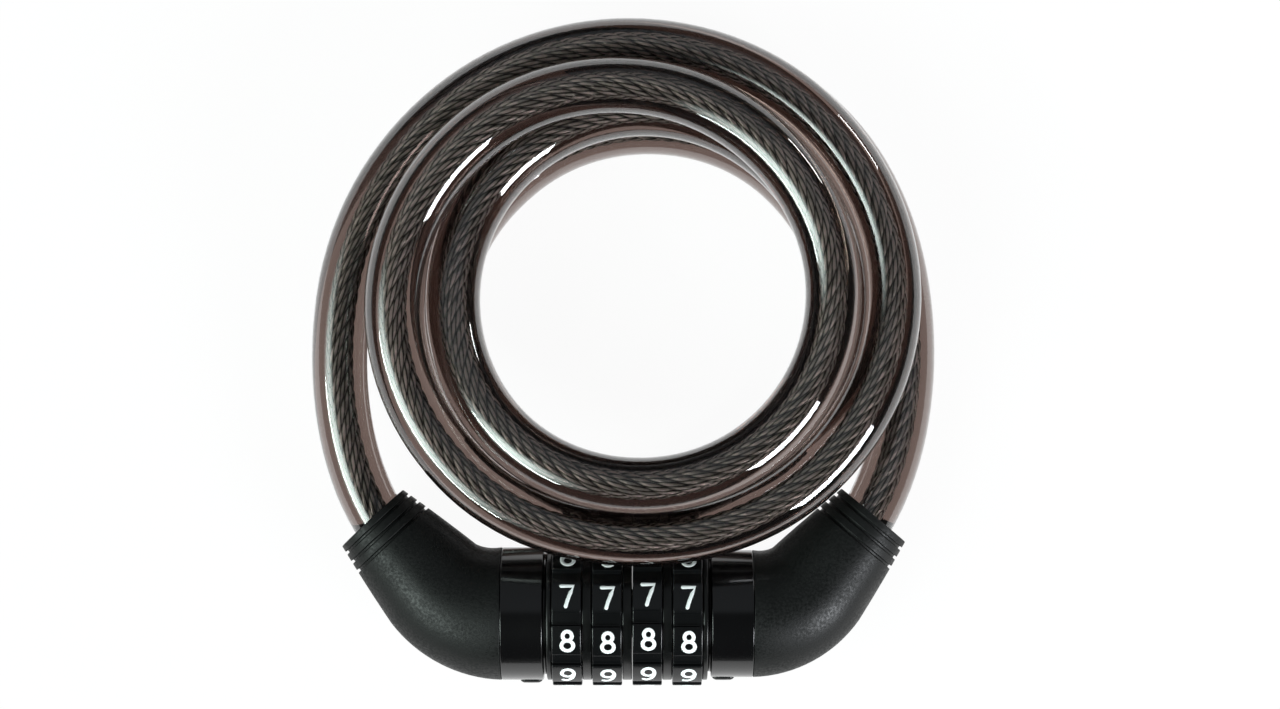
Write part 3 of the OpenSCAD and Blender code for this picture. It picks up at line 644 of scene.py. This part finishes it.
def makeDial(name, node):
    low, high = alongBarrel(node)
    bpy.ops.object.select_all(action="DESELECT")
    half = math.pi / dials["facets"]
    bpy.ops.mesh.primitive_cylinder_add(vertices=dials["facets"], radius=dials["grooveR"] * mm,
                                        depth=(high - low) * mm, end_fill_type="NGON",
                                        location=(0, 0, 0), rotation=(0, 0, half))
    piece = openPiece(name)
    bakePlace(piece)
    piece.data.transform(Matrix.Rotation(math.pi / 2, 4, "Y"))
    piece.data.transform(Matrix.Translation(onLock((low + high) / 2, 0, 0)))
    bpy.ops.object.mode_set(mode="EDIT")
    bpy.ops.mesh.select_all(action="DESELECT")
    bpy.ops.object.mode_set(mode="OBJECT")
    padHalf = dials["padFacets"] * half
    for face in piece.data.polygons:
        if abs(face.normal.x) < 0.5:
            turned = turnFromTop(face.normal) - dials["indexAngle"]
            away = (turned + digitStep / 2) % digitStep - digitStep / 2
            face.select = abs(math.radians(away)) < padHalf
    bpy.ops.object.mode_set(mode="EDIT")
    bpy.ops.mesh.select_mode(type="FACE")
    bpy.ops.mesh.extrude_region_move()
    rise = dials["r"] / dials["grooveR"]
    bpy.ops.transform.resize(value=(1, rise, rise), center_override=onLock((low + high) / 2, 0, 0))
    bpy.ops.mesh.select_all(action="DESELECT")
    bpy.ops.object.mode_set(mode="OBJECT")
    for face in piece.data.polygons:
        face.select = len(face.vertices) == dials["facets"]
    bpy.ops.object.mode_set(mode="EDIT")
    bpy.ops.mesh.inset(thickness=(dials["grooveR"] - dials["holeR"]) * mm)
    bpy.ops.mesh.bridge_edge_loops()
    bpy.ops.mesh.select_all(action="SELECT")
    bpy.ops.mesh.normals_make_consistent(inside=False)
    bpy.ops.object.mode_set(mode="OBJECT")
    applyBevel(piece, dials["edge"], segments=3, angle=40)
    evenShading(piece, 40)
    return piece


def arc(cx, cy, rx, ry, start, end):
    steps = figures["arcSteps"]
    angles = [math.radians(start + (end - start) * i / steps) for i in range(steps + 1)]
    return [(cx + rx * math.cos(a), cy + ry * math.sin(a)) for a in angles]


# Centre lines of the strokes, in mm, each with True where it closes on itself
nine = [(arc(0, 0.72, 1.08, 1.12, 0, 360), True), (arc(-0.35, 0.72, 1.43, 2.57, 0, -112), False)]
strokes = {
    0: [(arc(0, 0, 1.05, 1.85, 0, 360), True)],
    1: [([(-0.6, 1.1), (0.25, 1.85), (0.25, -1.85)], False)],
    2: [(arc(0, 0.85, 1.0, 1.0, 170, -35) + [(-1.05, -1.85), (1.05, -1.85)], False)],
    3: [(arc(-0.05, 0.93, 0.95, 0.92, 150, -90)
         + arc(-0.05, -0.9, 1.07, 0.95, 90, -150)[1:], False)],
    4: [([(0.5, -1.85), (0.5, 1.85), (-1.1, -0.8), (1.1, -0.8)], False)],
    5: [([(0.95, 1.85), (-0.75, 1.85), (-0.95, 0.2)] + arc(0, -0.65, 1.1, 1.2, 125, -145), False)],
    6: [([(-x, -y) for x, y in line], closed) for line, closed in nine],
    7: [([(-1.1, 1.85), (1.08, 1.85), (0.55, 0.6), (0.05, -0.7), (-0.28, -1.85)], False)],
    8: [(arc(0, 0.98, 0.82, 0.88, 0, 360), True), (arc(0, -0.86, 1.06, 1.0, 0, 360), True)],
    9: nine,
}


def strokeMesh(line, closed):
    # A flat rounded bead along one stroke, with round ends
    r, sides = figures["stroke"] / 2, figures["sides"]
    flat = figures["thick"] / figures["stroke"]
    points = [Vector((x, y)) for x, y in line]
    if closed:
        points = points[:-1]
    count = len(points)
    rings = []
    for i, point in enumerate(points):
        before = points[i - 1] if i or closed else points[0]
        after = points[(i + 1) % count] if i + 1 < count or closed else points[-1]
        way = (after - before).normalized()
        rings.append((point, way, r))
    if not closed:
        for where, sign in ((0, -1), (-1, 1)):
            point, way, full = rings[where]
            angles = [math.radians(degrees) for degrees in figures["capAngles"]]
            cap = [(point + way * sign * full * math.sin(a), way, full * math.cos(a))
                   for a in angles]
            rings = cap[::-1] + rings if sign < 0 else rings + cap
    corners = []
    for point, way, radius in rings:
        side = Vector((way.y, -way.x))
        for k in range(sides):
            q = 2 * math.pi * k / sides
            at = point + side * radius * math.cos(q)
            corners.append((at.x, at.y, radius * math.sin(q) * flat))
    faces, last = [], len(rings) - (0 if closed else 1)
    for i in range(last):
        for k in range(sides):
            a, b = i * sides, (i + 1) % len(rings) * sides
            faces.append((a + k, a + (k + 1) % sides, b + (k + 1) % sides, b + k))
    if not closed:
        faces += [tuple(range(sides))[::-1],
                  tuple((len(rings) - 1) * sides + k for k in range(sides))]
    return corners, faces


def makeFigures(name, x):
    corners, faces = [], []
    for digit, lines in strokes.items():
        centre = math.radians(dials["indexAngle"] + digitStep * digit)
        for line, closed in lines:
            start = len(corners)
            spots, rows = strokeMesh(line, closed)
            for u, v, w in spots:
                a = centre - v / dials["r"]
                r = dials["r"] + w
                corners.append(onLock(x + u, -r * math.sin(a), r * math.cos(a)))
            faces += [tuple(start + k for k in row) for row in rows]
    piece = meshPiece(name, corners, faces)
    piece.data.update()
    selectOnly(piece)
    bpy.ops.object.mode_set(mode="EDIT")
    bpy.ops.mesh.select_all(action="SELECT")
    bpy.ops.mesh.normals_make_consistent(inside=False)
    bpy.ops.object.mode_set(mode="OBJECT")
    smoothByAngle(piece, 40)
    return piece


for number, play in enumerate(dials["play"], 1):
    node = f"dial_{number}"
    low, high = alongBarrel(node)
    dial = makeDial(f"dial{number}Ring", node)
    print(f"figures of dial {number}")
    ink = makeFigures(f"dial{number}Figures", (low + high) / 2 + figures["shift"])
    turn = (Matrix.Translation(lockAt) @ Matrix.Rotation(math.radians(play), 4, "X")
            @ Matrix.Translation(-lockAt))
    for piece in (dial, ink):
        piece.data.transform(turn)
    finishPiece(dial, dialAbs, node, "dial_plastic", node)
    ink.data.materials.append(figurePaint)
    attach(ink, node)


print("elbows")
# In mm. taper: how late the skin narrows towards its mouth; rib: one of the grooves near the mouth
elbowSkin = {"taper": 1.4, "sides": 72, "bendRings": 16, "straightRings": 6, "ribs": 3,
             "ribStart": 1.2, "ribPitch": 1.9, "ribGap": 0.55, "ribDepth": 0.5, "mouthR": 6.15,
             "boreR": 5.3, "boreDepth": 17, "edge": 0.12}


def elbowRings(e):
    # (distance along the elbow, radius) of each ring of the skin, then of the bore, going back in
    k = elbowSkin
    length = elbowLength(e)
    arcLength = length - e["straight"]

    def skinR(s):
        return e["rootR"] - (e["rootR"] - e["endR"]) * (s / length) ** k["taper"]

    ribs = [length - k["ribStart"] - i * k["ribPitch"] for i in reversed(range(k["ribs"]))]
    straight = ribs[0] - k["ribGap"] - arcLength
    plain = [i * arcLength / k["bendRings"] for i in range(k["bendRings"] + 1)]
    plain += [arcLength + straight * i / k["straightRings"] for i in range(1, k["straightRings"])]
    rings = [(s, skinR(s)) for s in plain]
    for s in ribs:
        rings += [(s - k["ribGap"], skinR(s - k["ribGap"])),
                  (s - k["ribGap"], skinR(s) - k["ribDepth"]),
                  (s, skinR(s) - k["ribDepth"]), (s, skinR(s))]
    rings += [(length, e["endR"]), (length, k["mouthR"]), (length - flareDepth, k["boreR"]),
              (length - k["boreDepth"], k["boreR"])]
    return rings


def makeElbow(name, e):
    rings = elbowRings(e)
    arcLength = elbowLength(e) - e["straight"]
    bpy.ops.object.select_all(action="DESELECT")
    bpy.ops.mesh.primitive_circle_add(vertices=elbowSkin["sides"], radius=rings[0][1] * mm,
                                      fill_type="NGON", location=elbowSpine(e, 0),
                                      rotation=(0, math.pi / 2, 0))
    piece = openPiece(name)
    bakePlace(piece)
    bpy.ops.object.mode_set(mode="EDIT")
    bpy.ops.mesh.select_mode(type="EDGE")
    bpy.ops.mesh.select_all(action="SELECT")
    bendCentre = onLock(e["side"] * elbowStart, e["bendR"], 0)
    for (s, r), (nextS, nextR) in zip(rings, rings[1:]):
        if s < arcLength - 1e-6:
            bpy.ops.mesh.spin(steps=1, dupli=False, angle=(nextS - s) / e["bendR"],
                              center=bendCentre, axis=(0, 0, -e["side"]))
        else:
            bpy.ops.mesh.extrude_region_move(
                TRANSFORM_OT_translate={"value": elbowSpine(e, nextS) - elbowSpine(e, s)})
        bpy.ops.transform.resize(value=(nextR / r,) * 3, center_override=elbowSpine(e, nextS))
    bpy.ops.mesh.select_all(action="SELECT")
    bpy.ops.mesh.remove_doubles(threshold=mergeWithin)
    bpy.ops.mesh.normals_make_consistent(inside=False)
    bpy.ops.object.mode_set(mode="OBJECT")
    applyBevel(piece, elbowSkin["edge"], segments=2, angle=40)
    evenShading(piece, 60)
    return piece


for body, e in elbows.items():
    elbow = makeElbow(f"{body}ElbowShell", e)
    finishPiece(elbow, elbowAbs, body, "elbow_plastic", f"{body}_elbow")


print("index pips")
pips = {"long": 4.1, "wide": 2.0, "proud": 0.6, "sunk": 0.1, "sides": 24, "rings": 16}
for body in ("barrel", "plug"):
    low, high = alongBarrel(f"{body}_index_pip")
    middle = onLock((low + high) / 2, -collars[f"{body}R"] + pips["sunk"], 0)
    bpy.ops.object.select_all(action="DESELECT")
    bpy.ops.mesh.primitive_uv_sphere_add(segments=pips["sides"], ring_count=pips["rings"],
                                         radius=pips["wide"] / 2 * mm, location=middle)
    pip = openPiece(f"{body}IndexPip")
    bakePlace(pip)
    stretch = (pips["long"] - pips["wide"]) / 2 * mm
    flat = (pips["proud"] + pips["sunk"]) / (pips["wide"] / 2)
    for corner in pip.data.vertices:
        across = corner.co.x - middle.x
        if abs(across) > 1e-7:
            corner.co.x += math.copysign(stretch, across)
        corner.co.y = middle.y + (corner.co.y - middle.y) * flat
    smoothByAngle(pip, 60)
    finishPiece(pip, pipAbs, body, "pip_plastic", f"{body}_index_pip")


# These keep their solids and get their metals
print("inner works")
finishes = {
    platedSteel: ("core_tube", "locking_pin", "barrel_cross_pin", "plug_cross_pin",
                  "barrel_ferrule", "plug_ferrule"),
    castZinc: ("barrel_anchor", "plug_anchor"),
    turnedBrass: ("code_wheel_1", "code_wheel_2", "code_wheel_3", "code_wheel_4"),
    darkSteel: ("barrel_set_screw", "plug_set_screw", "retaining_ring", "click_spring"),
}
for material, nodes in finishes.items():
    for node in nodes:
        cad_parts[node].data.materials.clear()
        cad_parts[node].data.materials.append(material)


print("studio")
# floorR in metres. floorGlow: how white the camera, reflections and clear pieces see the floor,
# with lessThrough off for what is seen through clear pieces. horizon and zenith: brightness of
# the sky
studio = {"floorR": 1.5, "floorDrop": 0.05, "floorSides": 96, "floorHex": "fbfbfb",
          "floorGlow": 0.95, "lessThrough": 0.05, "horizon": 0.12, "zenith": 0.04,
          "lowDegrees": 2, "highDegrees": 12}
bpy.ops.object.select_all(action="DESELECT")
bpy.ops.mesh.primitive_circle_add(vertices=studio["floorSides"], radius=studio["floorR"],
                                  fill_type="NGON", location=(0, 0, -studio["floorDrop"] * mm))
floor = openPiece("whiteAcrylicFloor")
floorPaint, tree, output = newMaterial("whiteAcrylic")
ray = addNode(tree, "ShaderNodeLightPath")
seen = addNode(tree, "ShaderNodeMath", {"operation": "MAXIMUM"},
               {0: ray.outputs["Is Camera Ray"], 1: ray.outputs["Is Glossy Ray"]})
seen = addNode(tree, "ShaderNodeMath", {"operation": "MAXIMUM"},
               {0: seen.outputs["Value"], 1: ray.outputs["Is Transmission Ray"]})
most = addNode(tree, "ShaderNodeMath",
               {"operation": "MULTIPLY_ADD", 1: -studio["lessThrough"], 2: studio["floorGlow"]},
               {0: ray.outputs["Is Transmission Ray"]})
share = addNode(tree, "ShaderNodeMath", {"operation": "MULTIPLY"},
                {0: seen.outputs["Value"], 1: most.outputs["Value"]})
matt = addNode(tree, "ShaderNodeBsdfDiffuse", {"Color": linearColour(studio["floorHex"])})
glow = addNode(tree, "ShaderNodeEmission", {"Color": (1, 1, 1, 1), "Strength": 1.0})
blendNode = addNode(tree, "ShaderNodeMixShader", {},
                    {0: share.outputs["Value"], 1: matt.outputs["BSDF"],
                     2: glow.outputs["Emission"]})
tree.links.new(blendNode.outputs["Shader"], output.inputs["Surface"])
floor.data.materials.append(floorPaint)

world = bpy.data.worlds.new("softRoom")
bpy.context.scene.world = world
world.use_nodes = True
tree = world.node_tree
tree.nodes.clear()
output = addNode(tree, "ShaderNodeOutputWorld")
way = addNode(tree, "ShaderNodeTexCoord")
height = addNode(tree, "ShaderNodeSeparateXYZ", {}, {"Vector": way.outputs["Generated"]})
fade = addNode(tree, "ShaderNodeMapRange",
               {"From Min": math.sin(math.radians(studio["lowDegrees"])),
                "From Max": math.sin(math.radians(studio["highDegrees"])),
                "To Min": studio["horizon"], "To Max": studio["zenith"],
                "interpolation_type": "SMOOTHSTEP"},
               {"Value": height.outputs["Z"]})
sky = addNode(tree, "ShaderNodeBackground", {"Color": (1, 1, 1, 1)},
              {"Strength": fade.outputs["Result"]})


def skyWay(bearing, lean):
    # bearing: degrees round from +X; lean: degrees off the vertical
    bearing, lean = math.radians(bearing), math.radians(lean)
    flat = Vector((math.cos(bearing), math.sin(bearing), 0))
    return flat * math.sin(lean) + up * math.cos(lean)


# Large soft lights without a hard edge. wide and tall: degrees from its middle to where it has
# faded out; core: the share of that before it starts to fade
glows = {
    "frontLeftGlow": {"bearing": 207, "lean": 44, "wide": 33, "tall": 24, "core": 0.05,
                      "radiance": 9, "hex": "effff9"},
    "backPanel": {"bearing": 90, "lean": 36, "wide": 52, "tall": 34, "core": 0.75,
                  "radiance": 0.2, "hex": "dde6ed"},
}


def addGlow(below, glow):
    middle = skyWay(glow["bearing"], glow["lean"])
    side = up.cross(middle).normalized()
    rise = middle.cross(side)
    parts = []
    for axis, half in ((side, glow["wide"]), (rise, glow["tall"]), (middle, None)):
        dot = addNode(tree, "ShaderNodeVectorMath", {"operation": "DOT_PRODUCT", 1: axis[:]},
                      {0: way.outputs["Generated"]})
        share = addNode(tree, "ShaderNodeMath",
                        {"operation": "MULTIPLY",
                         1: 1 / math.sin(math.radians(half)) if half else 1.0},
                        {0: dot.outputs["Value"]})
        parts.append(share.outputs["Value"])
    flat = addNode(tree, "ShaderNodeCombineXYZ", {}, {"X": parts[0], "Y": parts[1]})
    away = addNode(tree, "ShaderNodeVectorMath", {"operation": "LENGTH"},
                   {0: flat.outputs["Vector"]})
    fall = addNode(tree, "ShaderNodeMapRange",
                   {"From Min": 1.0, "From Max": glow["core"], "To Max": glow["radiance"],
                    "interpolation_type": "SMOOTHSTEP"}, {"Value": away.outputs["Value"]})
    front = addNode(tree, "ShaderNodeMath", {"operation": "GREATER_THAN", 1: 0.0}, {0: parts[2]})
    strength = addNode(tree, "ShaderNodeMath", {"operation": "MULTIPLY"},
                       {0: fall.outputs["Result"], 1: front.outputs["Value"]})
    light = addNode(tree, "ShaderNodeBackground", {"Color": linearColour(glow["hex"])},
                    {"Strength": strength.outputs["Value"]})
    both = addNode(tree, "ShaderNodeAddShader", {}, {0: below, 1: light.outputs["Background"]})
    return both.outputs["Shader"]


wholeSky = sky.outputs["Background"]
for glow in glows.values():
    wholeSky = addGlow(wholeSky, glow)
tree.links.new(wholeSky, output.inputs["Surface"])


# Lamps with hard edges. wide and tall: degrees from edge to edge
lamps = {
    "frontLeftStrip": {"bearing": 213, "lean": 55, "wide": 46, "tall": 4,
                       "radiance": 20, "hex": "effff9"},
    "frontRightLamp": {"bearing": -38, "lean": 61, "wide": 24, "tall": 18,
                       "radiance": 22, "hex": "f6faff"},
    "backRightWindow": {"bearing": 40, "lean": 80, "wide": 14, "tall": 5,
                        "radiance": 12, "hex": "ffffff"},
}
lampDistance = 1.4  # metres
lampAim = onLock(3, 45, 0)


def addLamp(name, lamp):
    data = bpy.data.lights.new(name, "AREA")
    data.shape = "RECTANGLE"
    data.size = 2 * lampDistance * math.tan(math.radians(lamp["wide"] / 2))
    data.size_y = 2 * lampDistance * math.tan(math.radians(lamp["tall"] / 2))
    data.energy = lamp["radiance"] * math.pi * data.size * data.size_y
    data.color = linearColour(lamp["hex"])[:3]
    place = bpy.data.objects.new(name, data)
    towards = skyWay(lamp["bearing"], lamp["lean"])
    place.location = lampAim + towards * lampDistance
    place.rotation_mode = "QUATERNION"
    place.rotation_quaternion = towards.to_track_quat("Z", "Y")
    bpy.context.scene.collection.objects.link(place)


for name, lamp in lamps.items():
    addLamp(name, lamp)
